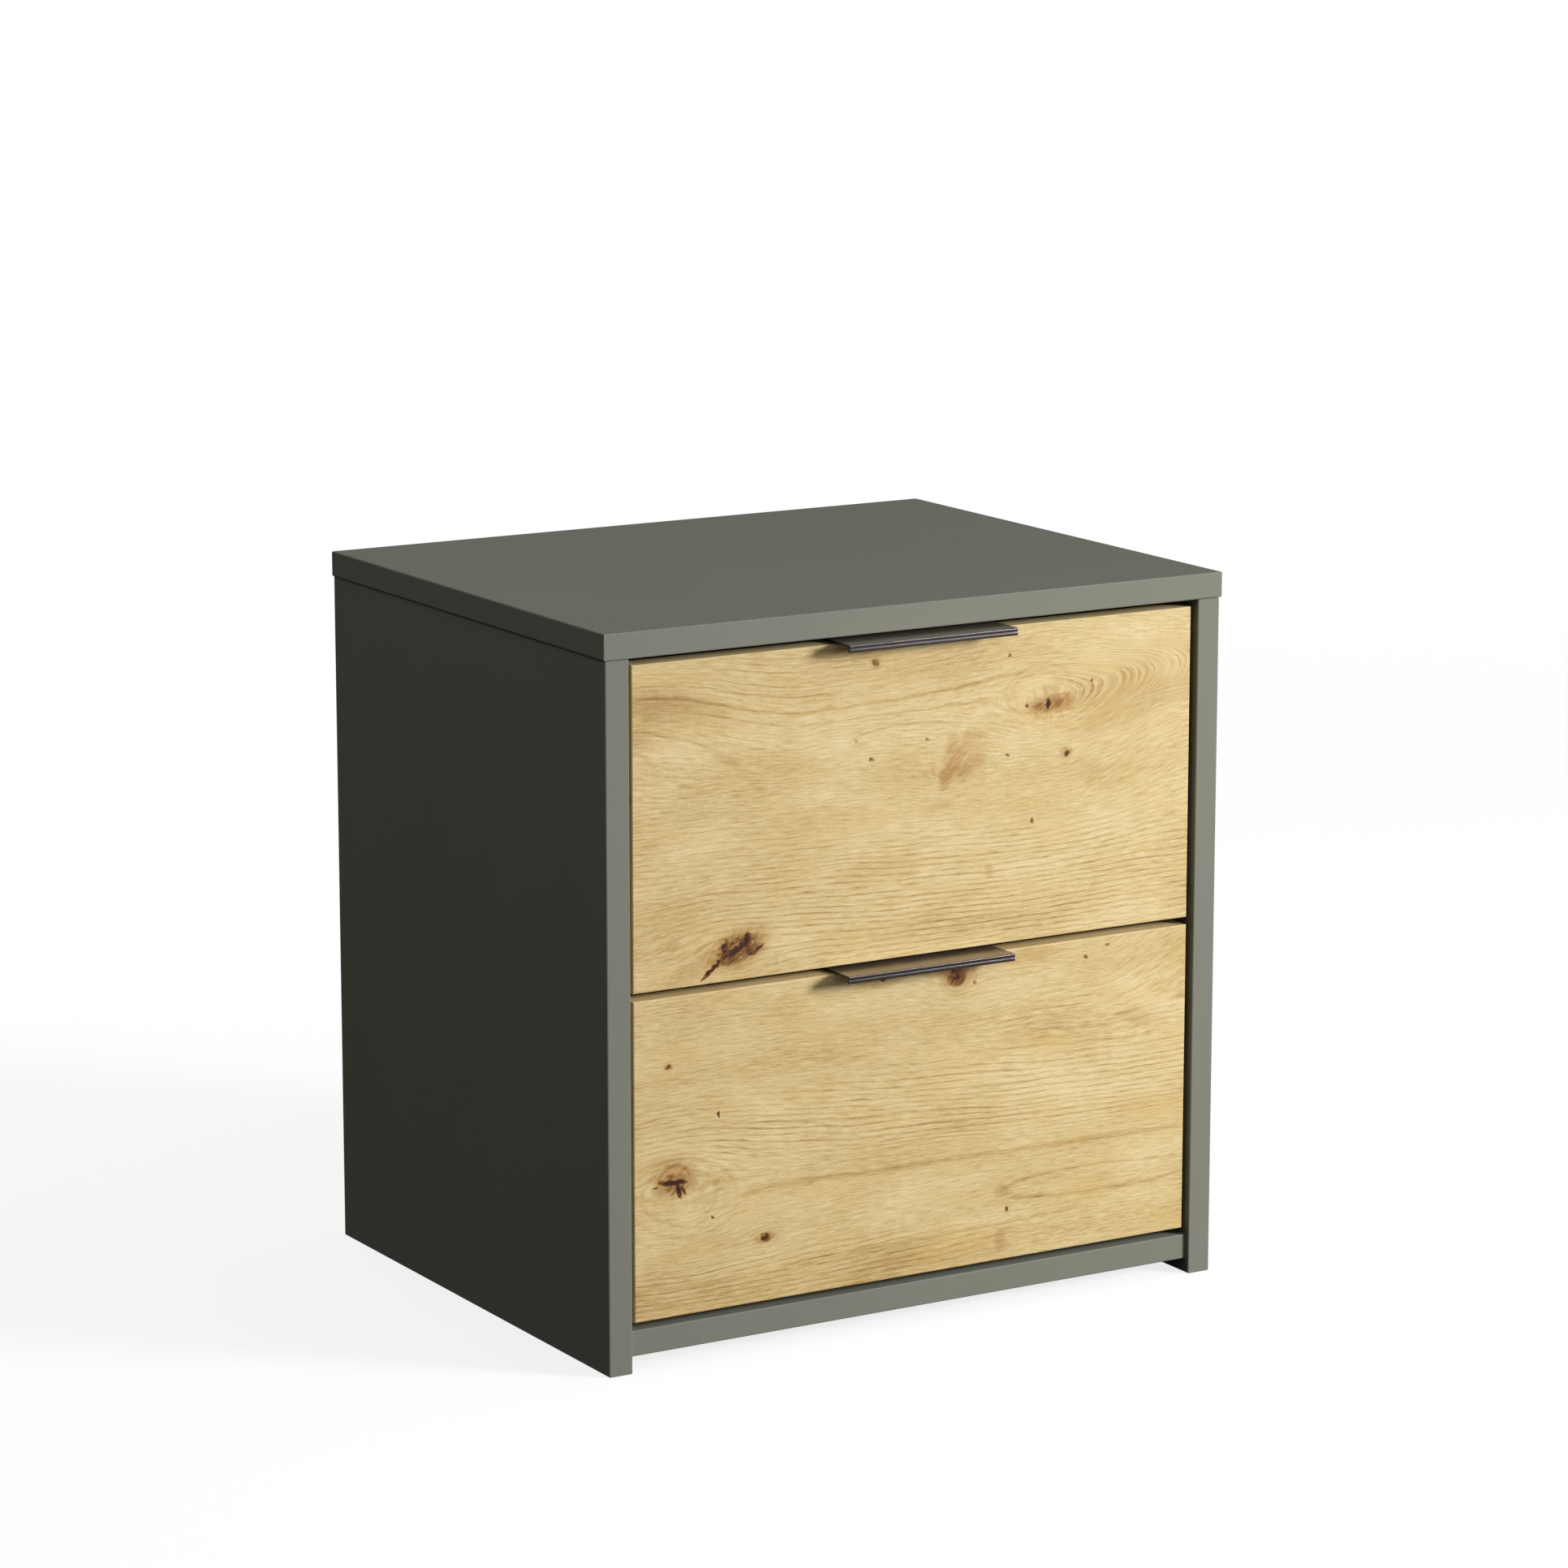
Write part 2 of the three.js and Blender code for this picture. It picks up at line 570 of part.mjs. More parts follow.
// A pull that hooks over the front's top edge: a flange behind it, a plate over it and a
// rounded, grooved nose in front. Its own y is 0 on the face of the front, and its z is 0
// under the plate.
function handle() {
  const flangeFront = BOARD + JOINT_GAP;
  const flangeBack = flangeFront + HANDLE_SHEET;
  const noseBottom = HANDLE_SHEET - NOSE_HEIGHT;
  const noseMiddle = HANDLE_SHEET - NOSE_HEIGHT / 2;
  const roundCentre = NOSE_ROUND - HANDLE_REACH;
  const profile = new THREE.Shape();
  profile.moveTo(flangeBack, -FLANGE_DROP);
  profile.lineTo(flangeBack, 0);
  profile.absarc(flangeFront, 0, HANDLE_SHEET, 0, Math.PI / 2, false);
  profile.lineTo(roundCentre, HANDLE_SHEET);
  profile.absarc(roundCentre, HANDLE_SHEET - NOSE_ROUND, NOSE_ROUND, Math.PI / 2, Math.PI, false);
  profile.absarc(-HANDLE_REACH, noseMiddle, NOSE_GROOVE, Math.PI / 2, -Math.PI / 2, true);
  profile.absarc(roundCentre, noseBottom + NOSE_ROUND, NOSE_ROUND, Math.PI, 1.5 * Math.PI, false);
  profile.lineTo(NOSE_THICKNESS - HANDLE_REACH, noseBottom);
  profile.lineTo(NOSE_THICKNESS - HANDLE_REACH, 0);
  profile.lineTo(flangeFront, 0);
  profile.lineTo(flangeFront, -FLANGE_DROP);
  profile.closePath();
  const holes = Object.values(HANDLE_SCREWS).map((x) =>
    barY(
      SCREW_RADIUS + SCREW_PLAY,
      x,
      [flangeFront - OVERCUT, flangeBack + OVERCUT],
      -HANDLE_SCREW_DROP - JOINT_GAP,
    ),
  );
  return cut(pulledAlongX(profile, HANDLE_LENGTH), holes);
}

function addHandle(group, drawer) {
  group.add(
    piece(`${drawer}_drawer_handle`, 'anthracite', handle(), 0, -BOARD, FRONT_HEIGHT + JOINT_GAP),
  );
  const y = HANDLE_SHEET + 2 * JOINT_GAP;
  const z = FRONT_HEIGHT - HANDLE_SCREW_DROP;
  for (const [side, x] of Object.entries(HANDLE_SCREWS)) {
    const name = `${drawer}_drawer_handle_screw_${side}`;
    const fastener = piece(name, 'zinc', screw(HANDLE_SCREW_LENGTH), x, y, z);
    fastener.rotation.z = -Math.PI / 2;
    group.add(fastener);
  }
}

function drawer(name) {
  const group = new THREE.Group();
  const backY = RUNNER_SETBACK + RUNNER_LENGTH - BOX_BOARD;
  const bottomZ = BOTTOM_GROOVE[0] + GROOVE_PLAY;
  group.add(piece(`${name}_drawer_front`, 'oak', drawerFront()));
  group.add(piece(`${name}_drawer_back`, 'boxBoard', drawerBack(), 0, backY));
  group.add(piece(`${name}_drawer_bottom`, 'hardboard', drawerBottom(backY), 0, 0, bottomZ));
  for (const [side, hand] of Object.entries(HANDS)) {
    const x = (hand * BOX_WIDTH) / 2;
    group.add(piece(`${name}_drawer_side_${side}`, 'boxBoard', drawerSide(hand), x));
    const runner = drawerRunner(name, side, hand);
    runner.position.set((hand * INNER_WIDTH) / 2, RUNNER_SETBACK, RUNNER_RISE);
    group.add(runner);
  }
  addHandle(group, name);
  return group;
}

// --- The whole nightstand --------------------------------------------------------------------

const nightstand = new THREE.Group();
nightstand.position.y = FRONT_EDGE;
nightstand.add(carcass());
DRAWERS.forEach((name, level) => {
  const box = drawer(name);
  box.position.set(0, FRONT_BACK, drawerBase(level));
  nightstand.add(box);
});

export default nightstand;
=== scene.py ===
"""Looks of a nightstand with two drawers: a graphite laminate carcass, knotty oak fronts and
edge-pull handles of anthracite metal. Lengths are in millimetres until a piece is placed."""

import json
import math
from typing import NamedTuple

import bmesh
import bpy
from mathutils import Matrix, Vector

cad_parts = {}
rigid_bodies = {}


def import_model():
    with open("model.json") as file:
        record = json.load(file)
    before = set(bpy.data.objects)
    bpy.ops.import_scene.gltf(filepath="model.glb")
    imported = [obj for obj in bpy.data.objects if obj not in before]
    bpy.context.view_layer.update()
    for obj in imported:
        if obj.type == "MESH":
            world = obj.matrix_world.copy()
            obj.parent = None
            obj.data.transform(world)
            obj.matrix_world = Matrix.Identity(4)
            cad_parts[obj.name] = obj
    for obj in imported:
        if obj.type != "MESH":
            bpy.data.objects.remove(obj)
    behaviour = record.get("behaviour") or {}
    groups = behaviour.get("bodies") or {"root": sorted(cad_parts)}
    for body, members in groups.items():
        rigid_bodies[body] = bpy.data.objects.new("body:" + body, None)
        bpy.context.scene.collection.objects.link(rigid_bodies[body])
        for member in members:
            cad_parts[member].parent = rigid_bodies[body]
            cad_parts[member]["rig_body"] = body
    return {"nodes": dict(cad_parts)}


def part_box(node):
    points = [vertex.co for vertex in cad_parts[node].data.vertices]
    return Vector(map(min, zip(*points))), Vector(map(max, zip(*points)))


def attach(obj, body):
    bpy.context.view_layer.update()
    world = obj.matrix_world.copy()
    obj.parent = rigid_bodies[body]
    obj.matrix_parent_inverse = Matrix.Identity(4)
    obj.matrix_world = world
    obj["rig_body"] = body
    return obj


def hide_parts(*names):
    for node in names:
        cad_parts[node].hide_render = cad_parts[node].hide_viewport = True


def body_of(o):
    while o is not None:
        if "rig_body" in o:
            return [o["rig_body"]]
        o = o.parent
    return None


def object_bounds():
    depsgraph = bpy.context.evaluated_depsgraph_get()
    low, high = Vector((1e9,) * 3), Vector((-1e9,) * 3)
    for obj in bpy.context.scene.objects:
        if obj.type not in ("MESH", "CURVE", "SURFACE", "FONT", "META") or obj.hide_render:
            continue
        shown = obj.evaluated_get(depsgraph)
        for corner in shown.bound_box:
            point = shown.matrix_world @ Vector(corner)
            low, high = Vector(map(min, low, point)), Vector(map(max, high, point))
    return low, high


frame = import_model()
cad_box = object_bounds()
MM = 0.001
DRAWERS = ("lower", "upper")
SIDES = {"left": -1, "right": 1}

# --- Shader maths ----------------------------------------------------------------------------


class Wire:
    """A number that varies over a surface, or a colour. Sums on a number add Math nodes."""

    def __init__(self, paint, socket):
        self.paint = paint
        self.socket = socket

    def sum(self, operation, *values):
        inputs = dict(enumerate(values))
        return self.paint.node("ShaderNodeMath", {"operation": operation}, inputs)

    def __add__(self, other):
        return self.sum("ADD", self, other)

    def __sub__(self, other):
        return self.sum("SUBTRACT", self, other)

    def __rsub__(self, other):
        return self.sum("SUBTRACT", other, self)

    def __mul__(self, other):
        return self.sum("MULTIPLY", self, other)

    def __truediv__(self, other):
        return self.sum("DIVIDE", self, other)

    def __rtruediv__(self, other):
        return self.sum("DIVIDE", other, self)

    def __pow__(self, other):
        return self.sum("POWER", self, other)

    def __rpow__(self, other):
        return self.sum("POWER", other, self)

    def __abs__(self):
        return self.sum("ABSOLUTE", self)

    __radd__ = __add__
    __rmul__ = __mul__

    def at_most(self, other):
        return self.sum("MINIMUM", self, other)

    def at_least(self, other):
        return self.sum("MAXIMUM", self, other)

    def sine(self):
        return self.sum("SINE", self)

    def eased(self, low, high):
        """0 below low, 1 above high, and smooth between; turned round where low is the larger."""
        settings = {"interpolation_type": "SMOOTHSTEP"}
        ends = (low, high, 0, 1) if low < high else (high, low, 1, 0)
        return self.paint.node("ShaderNodeMapRange", settings, dict(enumerate((self, *ends))))

    def output(self, name):
        """Another output of the same node."""
        return Wire(self.paint, self.socket.node.outputs[name])


class Paint:
    """The node tree of one finish."""

    def __init__(self, owner):
        owner.use_nodes = True
        self.tree = owner.node_tree
        self.tree.nodes.clear()

    def node(self, kind, settings=None, inputs=None, output=0):
        """A node: its settings first, then the values or links of its sockets."""
        made = self.tree.nodes.new(kind)
        for name, value in (settings or {}).items():
            if name == "stops":
                self.set_stops(made.color_ramp.elements, value)
            else:
                setattr(made, name, value)
        for name, value in (inputs or {}).items():
            if isinstance(value, Wire):
                self.tree.links.new(value.socket, made.inputs[name])
            else:
                made.inputs[name].default_value = value
        return Wire(self, made.outputs[output]) if made.outputs else None

    @staticmethod
    def set_stops(elements, stops):
        while len(elements) < len(stops):
            elements.new(1)
        for element, (position, colour) in zip(elements, stops):
            element.position = position
            element.color = colour

    def place(self):
        """The point on the piece at rest, in millimetres."""
        point = self.node("ShaderNodeTexCoord", output="Object")
        x = self.node("ShaderNodeSeparateXYZ", inputs={0: point})
        return [axis * 1000 for axis in (x, x.output("Y"), x.output("Z"))]

    def facing(self):
        """The direction that the surface faces."""
        normal = self.node("ShaderNodeNewGeometry", output="Normal")
        x = self.node("ShaderNodeSeparateXYZ", inputs={0: normal})
        return x, x.output("Y"), x.output("Z")

    def noise(self, x, y, z=0.0, detail=2.0, roughness=0.5):
        """Noise from about -1 to 1, with one wave to each unit of its coordinates."""
        point = self.node("ShaderNodeCombineXYZ", inputs={0: x, 1: y, 2: z})
        inputs = {"Vector": point, "Scale": 1.0, "Detail": detail, "Roughness": roughness}
        return (self.node("ShaderNodeTexNoise", inputs=inputs) - 0.5) * 2

    def mix(self, first, second, share):
        """The first colour, and the second where share is 1."""
        settings = {"data_type": "RGBA"}
        return self.node("ShaderNodeMix", settings, {0: share, 6: first, 7: second}, output=2)

    def ramp(self, value, *stops):
        """A colour by a value, from stops that are each a position and a colour."""
        return self.node("ShaderNodeValToRGB", {"stops": stops}, {0: value})

    def bump(self, height, depth):
        """A normal from a height of about -1 to 1 that stands for depth in millimetres."""
        return self.node("ShaderNodeBump", inputs={"Height": height, "Distance": depth * MM})

    def surface(self, **sockets):
        """The whole finish. The sockets are named with an underscore for each space."""
        shader = self.node(
            "ShaderNodeBsdfPrincipled",
            inputs={name.replace("_", " "): value for name, value in sockets.items()},
        )
        self.node("ShaderNodeOutputMaterial", inputs={"Surface": shader})


def rgb(red, green, blue):
    """A colour as the eye reads it, from 0 to 255, as a shader wants it."""
    def linear(value):
        share = value / 255
        return share / 12.92 if share < 0.04045 else ((share + 0.055) / 1.055) ** 2.4

    return (linear(red), linear(green), linear(blue), 1.0)


def finish(name):
    """A new material and its paint."""
    material = bpy.data.materials.new(name)
    return material, Paint(material)


# --- Finishes --------------------------------------------------------------------------------


def graphite_laminate():
    """Matt laminate: a fine pearl in the surface, and a slow drift of its tone."""
    material, paint = finish("graphite_laminate")
    x, y, z = paint.place()
    pearl = paint.noise(x * 1.6, y * 1.6, z * 1.6, detail=2)
    drift = paint.noise(x / 90, y / 90, z / 90, detail=2)
    tone = 0.5 + drift * 0.25 + pearl * 0.12
    paint.surface(
        Base_Color=paint.ramp(tone, (0.0, rgb(117, 117, 105)), (1.0, rgb(127, 127, 115))),
        Roughness=0.7 + pearl * 0.05,
        Normal=paint.bump(pearl, 0.01),
        Specular_IOR_Level=0.4,
    )
    return material


class Mark(NamedTuple):
    """An oval place in the oak, in millimetres from the middle of the front."""

    along: float
    up: float
    half_length: float
    half_width: float
    tilt: float = 0.0
    depth: float = 1.0


class Bend(NamedTuple):
    """A place that the grain parts round."""

    along: float
    up: float
    radius: float
    stretch: float


class Drift(NamedTuple):
    """A place where the grain climbs by a shift, between a start and an end."""

    start: float
    end: float
    up: float
    half_width: float
    shift: float


class Rings(NamedTuple):
    """Nested arcs that open to the left, and where they show."""

    along: float
    up: float
    tilt: float
    sharpness: float
    place: Mark


class Line(NamedTuple):
    """A dark line that follows the grain."""

    up: float
    half_width: float
    strength: float
    start: float
    end: float


class Arc(NamedTuple):
    """A thin dark line round an oval, or over the top of it only."""

    oval: Mark
    half_width: float
    start: float
    end: float
    over: bool = False


class OakFront(NamedTuple):
    """One front's figure, placed one by one: what turns its grain, what darkens it, and where its
    growth lines show."""

    seed: float
    bends: tuple
    drifts: tuple
    rings: tuple
    lines: tuple
    arcs: tuple
    shades: tuple
    stains: tuple
    bursts: tuple
    knots: tuple
    cracks: tuple
    lined: tuple


UPPER_OAK = OakFront(
    seed=3.0,
    bends=(
        Bend(92, 52, 24, 2.2),
        Bend(-133, -80, 13, 2.0),
        Bend(20, 14, 8, 2.5),
    ),
    drifts=(
        Drift(-80, -199, 68, 48, 20),
        Drift(105, 199, 22, 42, 15),
        Drift(60, 199, -14, 36, 7),
        Drift(-120, -199, -88, 26, -4),
    ),
    rings=(Rings(99, 50, 9, 7.3, Mark(152, 64, 60, 18, 6)),),
    lines=(
        Line(57, 0.7, 1.0, -198, 80),
        Line(50, 0.6, 0.6, -160, 60),
        Line(66, 0.6, 0.5, -198, -60),
    ),
    arcs=(
        Arc(Mark(-12, 34, 47, 11.5, 3, 0.6), 0.6, -52, 30, True),
        Arc(Mark(-206, 38, 72, 20, -4, 0.8), 0.7, -199, -138, True),
        Arc(Mark(84, 58, 17, 9, 6, 0.4), 0.7, 66, 102),
        Arc(Mark(86, 57, 24, 15, 6, 0.4), 0.8, 60, 112),
    ),
    shades=(
        Mark(84, 59, 15, 8, 6, -0.16),
        Mark(-165, 44, 30, 9, -14, -0.14),
        Mark(-40, 34, 50, 13, 0, -0.07),
        Mark(-178, 70, 52, 20, -14, 0.08),
        Mark(-185, -70, 40, 30, 0, 0.1),
        Mark(-100, 70, 90, 14, 0, 0.05),
        Mark(150, -28, 70, 24, 0, -0.08),
        Mark(130, 2, 70, 14, 8, 0.06),
        Mark(60, 25, 60, 25, 0, -0.05),
        Mark(150, 45, 60, 16, 12, 0.06),
    ),
    stains=(
        # round the small knot, high on the right
        Mark(96, 47, 18, 7, 3, 0.6),
        Mark(85, 46.5, 8, 4, 0, 0.6),
        Mark(102, 48, 8, 6, 20, 0.9),
        Mark(120, 52, 22, 9, 12, 0.22),
        # round specks
        Mark(107, 16, 5.5, 4, 0, 0.7),
        Mark(-31, 84, 4.5, 4.5, 0, 0.5),
        Mark(-38, 93, 5, 3, 0, 0.4),
        # the smear right of the middle
        Mark(31, 20, 24, 16, 42, 0.36),
        Mark(19, 9, 9, 5, 72, 0.6),
        Mark(26, 19, 16, 5, 50, 0.36),
        Mark(23, 28, 13, 5, 80, 0.3),
        Mark(36, 14, 15, 6, 20, 0.32),
        Mark(39, 34, 14, 3.5, -3, 0.25),
        # below the nested arcs
        Mark(150, 40, 52, 13, 14, 0.16),
        # round the split knot, low on the left
        Mark(-126, -79, 27, 14, 18, 0.8),
        Mark(-127, -79, 19, 9, 14, 0.5),
        Mark(-160, -90, 26, 8, 22, 0.35),
        # single spots
        Mark(51, -52, 3.5, 5.5, 0, 0.4),
        Mark(-134, 36, 14, 3.5, -18, 0.35),
        Mark(12, -6, 14, 6, 0, 0.2),
        # streaks, high on the left
        Mark(-178, 73, 56, 12, -14, 0.24),
        Mark(-186, 50, 36, 5, -14, 0.2),
    ),
    bursts=(Mark(96, 47.5, 26, 15, 0, 2.6), Mark(-124, -79, 30, 18), Mark(107, 16, 8, 6)),
    knots=(
        # the small knot, high on the right
        Mark(93.5, 47.5, 1.8, 3.2, 0, 0.95),
        Mark(85.5, 46.3, 4, 1.6, -6, 0.22),
        Mark(101, 47.5, 4.5, 3, 30, 0.26),
        # specks
        Mark(107, 15.5, 2.4, 2.2, 0, 0.62),
        Mark(-31, 84.5, 2.2, 2.4, 0, 0.4),
        Mark(-37, 93, 1.8, 0.8, 0, 0.4),
        Mark(65, 80, 1.4, 1.2, 0, 0.36),
        Mark(77.5, 48, 1.4, 1.3, 0, 0.4),
        Mark(125.5, 59, 1.4, 1.3, 0, 0.3),
        Mark(-34, 26, 1.8, 1.4, 0, 0.38),
        Mark(6, 34.3, 1.6, 1.2, 0, 0.38),
        Mark(64, 18.5, 1.6, 1, 0, 0.3),
        Mark(-45, 38, 1.2, 1, 0, 0.22),
        Mark(82, -24, 1.2, 2.2, 10, 0.42),
        # the split knot, low on the left
        Mark(-145, -90, 9, 1.5, 39, 0.85),
        Mark(-136, -79, 2, 7, -14, 0.7),
        Mark(-129, -80.5, 10.5, 2.8, 26, 0.74),
        Mark(-120.5, -75, 2.7, 5.4, -12, 0.78),
        Mark(-118.5, -82.5, 4.5, 2.2, -18, 0.62),
        Mark(-112.5, -80.5, 4.5, 1.3, 34, 0.6),
        Mark(-133, -86, 7, 2.6, 12, 0.5),
        Mark(-127, -80, 17, 8.5, 14, 0.34),
    ),
    cracks=(Mark(93, 47, 13, 4.5, 3, 0.3), Mark(-127, -80, 19, 9, 14, 0.55)),
    lined=(Mark(40, -62, 230, 42), Mark(-150, -20, 90, 30, 0, 0.4), Mark(-60, 86, 160, 16, 0, 0.4)),
)

LOWER_OAK = OakFront(
    seed=11.0,
    bends=(
        Bend(-172, -20, 23, 1.9),
        Bend(28, 88, 10, 1.6),
        Bend(-108, -59, 5, 2.0),
    ),
    drifts=(Drift(-150, 199, 6, 45, -12), Drift(130, 199, 88, 34, 18)),
    rings=(),
    lines=(
        Line(-26, 1.4, 0.75, -130, 199),
        Line(-73, 0.8, 0.5, -170, 120),
        Line(8, 0.7, 0.4, -120, 60),
        Line(-3, 0.6, 0.3, -100, 199),
    ),
    arcs=(
        Arc(Mark(136, -56, 77, 8.5, 0, 0.8), 0.6, 62, 199),
        Arc(Mark(-171, -15, 11, 10, 0, 0.9), 0.8, -190, -156, True),
        Arc(Mark(28, 86, 9, 8.5, 0, 0.5), 0.8, 14, 42),
        Arc(Mark(29, 86, 13, 12, 0, 0.4), 0.7, 10, 48),
        Arc(Mark(-168, -24, 26, 17, -8, 0.4), 0.8, -199, -140),
        Arc(Mark(-165, -26, 38, 24, -10, 0.4), 0.9, -199, -126),
        Arc(Mark(-163, -36, 14, 8, -10, 0.3), 0.6, -180, -146),
    ),
    shades=(
        Mark(-70, -88, 190, 15, 0, 0.19),
        Mark(-190, -84, 60, 26, 0, 0.1),
        Mark(150, -88, 110, 12, 0, 0.08),
        Mark(-162, -36, 13, 7, -10, -0.12),
        Mark(-130, -10, 26, 7, -8, -0.12),
        Mark(165, 58, 24, 9, -35, -0.14),
        Mark(120, 12, 120, 30, 0, -0.06),
        Mark(-150, 85, 90, 12, -3, 0.08),
        Mark(100, 42, 110, 9, 2, 0.06),
        Mark(-90, 48, 120, 8, 0, 0.05),
        Mark(135, -56, 70, 8, 0, -0.06),
        Mark(80, 72, 120, 12, 0, -0.05),
    ),
    stains=(
        # round the knot under the handle, and along the top
        Mark(28, 87, 15, 9, 0, 0.6),
        Mark(28, 86.5, 8, 7, 0, 0.6),
        Mark(28, 92, 26, 6, 0, 0.5),
        Mark(-26, 90, 18, 6, 0, 0.5),
        Mark(70, 92, 40, 5, 3, 0.25),
        # round the cracked knot on the left
        Mark(-171, -14, 18, 12, 5, 0.75),
        Mark(-178, -2, 18, 6, 8, 0.25),
        # round specks
        Mark(-175, 56, 4, 3, 0, 0.6),
        Mark(-108, -59, 9, 4, 0, 0.75),
        Mark(62, -54, 6, 6, 0, 0.35),
        Mark(61, -86, 5, 9, 0, 0.4),
        Mark(66, -67, 3, 3, 0, 0.35),
        # a patch, high on the right
        Mark(168, 44, 22, 8, -16, 0.2),
    ),
    bursts=(Mark(28, 87, 16, 12), Mark(-172, -16, 22, 16), Mark(-108, -59, 11, 6)),
    knots=(
        # the knot under the handle
        Mark(28, 86, 3, 2.8, 0, 0.8),
        Mark(28, 86.5, 7, 6.5, 0, 0.5),
        # specks
        Mark(-25, 91.5, 2.6, 1.6, 0, 0.8),
        Mark(-175, 56, 2.2, 1.8, 0, 0.42),
        Mark(-140.5, 22.5, 1, 2.3, 0, 0.5),
        Mark(123, 87, 1.6, 1.1, 0, 0.36),
        Mark(139, 93, 1.8, 1.1, 0, 0.36),
        Mark(41, 81, 1.4, 1.3, 0, 0.28),
        Mark(66, -67, 1.5, 1.6, 0, 0.4),
        Mark(-145, -41, 1, 1.1, 0, 0.36),
        Mark(-108, -59, 3.2, 2.6, 0, 0.62),
        # the cracked knot on the left
        Mark(-172, -15.5, 9, 1.7, -3),
        Mark(-177, -14.5, 4, 1, 20, 0.7),
        Mark(-168.5, -20.5, 1.8, 5, 16, 0.9),
        Mark(-165, -21, 1.2, 3.5, 30, 0.5),
        Mark(-171, -16, 10, 6.5, 0, 0.28),
        Mark(-184, -17, 2.4, 0.8, 0, 0.5),
    ),
    cracks=(Mark(-171, -18, 11, 7, 0, 0.3),),
    lined=(
        Mark(60, 8, 210, 32),
        Mark(-80, -82, 170, 18, 0, 0.9),
        Mark(120, 52, 90, 20, 0, 0.5),
        Mark(-155, 14, 70, 26, 0, 0.6),
    ),
)


class Spot(NamedTuple):
    """A point on a front that is unfolded flat, in millimetres from its middle."""

    along: Wire
    up: Wire

    def moved(self, along, up):
        return Spot(self.along + along, self.up + up)


def unfolded(paint, box):
    """The spot on a front, so that the grain runs on over its top and up its ends, and 1 where the
    front looks up: the mask for the painted light on its top."""
    low, high = box
    x, y, z = paint.place()
    sideways, _, upwards = paint.facing()
    end_grain = abs(sideways).eased(0.6, 0.8)
    behind = y - low.y / MM
    height = z - (low.z + high.z) / 2 / MM
    along = x + (height - x) * end_grain
    up = height + behind + (behind - height) * end_grain
    return Spot(along, up), upwards.eased(0.6, 0.8)


def from_middle(place, spot):
    """The way from the middle of a tilted place to a spot: along the place, and across it."""
    across, rise = spot.along - place.along, spot.up - place.up
    if not place.tilt:
        return across, rise
    turn = math.radians(place.tilt)
    return (
        across * math.cos(turn) + rise * math.sin(turn),
        rise * math.cos(turn) - across * math.sin(turn),
    )


def inside(mark, spot):
    """How far a spot lies from the middle of an oval, squared, with 1 at its edge."""
    length, width = from_middle(mark, spot)
    length, width = length / mark.half_length, width / mark.half_width
    return length * length + width * width


def added(marks, spot, outer, inner=0.0):
    """The depths of the marks round a spot, added up: each is whole where inside() is inner, and
    gone where it is outer."""
    return sum(inside(mark, spot).eased(outer, inner) * mark.depth for mark in marks)


def span(along, start, end):
    """1 between two places along the front, faded at both."""
    return along.eased(start - 3, start + 9) * along.eased(end + 3, end - 9)


def grain_of(front, paint, spot):
    """The line of growth that passes through a spot, by its height where it runs straight."""
    along, up = spot
    wander = paint.noise(along / 130, up / 60, front.seed, detail=2)
    ripple = paint.noise(along / 40, up / 12, front.seed + 1, detail=1)
    grain = up + wander * 4 + ripple * 0.9
    for drift in front.drifts:
        near = abs(up - drift.up).eased(drift.half_width * 1.3, drift.half_width * 0.1)
        grain -= along.eased(drift.start, drift.end) * near * drift.shift
    for bend in front.bends:
        across, rise = (along - bend.along) / bend.stretch, up - bend.up
        grain -= rise * bend.radius**2 / (across * across + rise * rise + bend.radius**2)
    return grain


def figure(paint, along, grain, seed, lined):
    """The tone of straight wood: bands, streaks, fibres, and growth lines where it is lined."""
    bands = paint.noise(along / 150, grain / 17, seed, detail=2, roughness=0.7)
    streaks = paint.noise(along / 42, grain / 2.3, seed + 1, detail=2, roughness=0.7)
    fibres = paint.noise(along / 12, grain / 0.95, seed + 2, detail=3, roughness=0.75)
    wander = paint.noise(along / 120, grain / 16, seed + 3, detail=1)
    growth = ((grain / 3.6 + wander * 0.8) * 2 * math.pi).sine().eased(0.15, 1) - 0.22
    broken = paint.noise(along / 30, grain / 3.2, seed + 4, detail=2).eased(0.5, -0.3)
    tone = bands * 0.14 + streaks * 0.15 + fibres * 0.78
    return tone - growth * broken * (lined * 0.36 + 0.06), fibres


def ringed(rings, paint, spot, wavy, tone, seed):
    """The tone with nested arcs in it, each by the distance of its tip from the knot."""
    length, width = from_middle(rings, wavy)
    ring = (length * length * 0.02 + width * width) / rings.sharpness + length
    patches = paint.noise(spot.along / 16, spot.up / 9, seed, detail=2).eased(-0.25, 0.2)
    arcs, _ = figure(paint, spot.along / 2, ring / 2, seed + 2, patches)
    near = inside(rings.place, spot).eased(1.3, 0.5) * ring.eased(5, 14)
    return tone + (arcs - tone) * near


def drawn(front, spot, wavy, grain):
    """How much the lines and arcs darken the wood."""
    depth = 0.0
    for line in front.lines:
        near = abs(grain - line.up).eased(line.half_width * 2, line.half_width * 0.4)
        depth += near * span(spot.along, line.start, line.end) * line.strength
    for arc in front.arcs:
        off = abs(inside(arc.oval, wavy) ** 0.5 - 1)
        edge = arc.half_width / arc.oval.half_width
        near = off.eased(edge * 2, edge * 0.4) * span(spot.along, arc.start, arc.end)
        if arc.over:
            near *= (spot.up - arc.oval.up).eased(0, arc.oval.half_width / 2)
        depth += near * arc.oval.depth
    return depth * 0.3


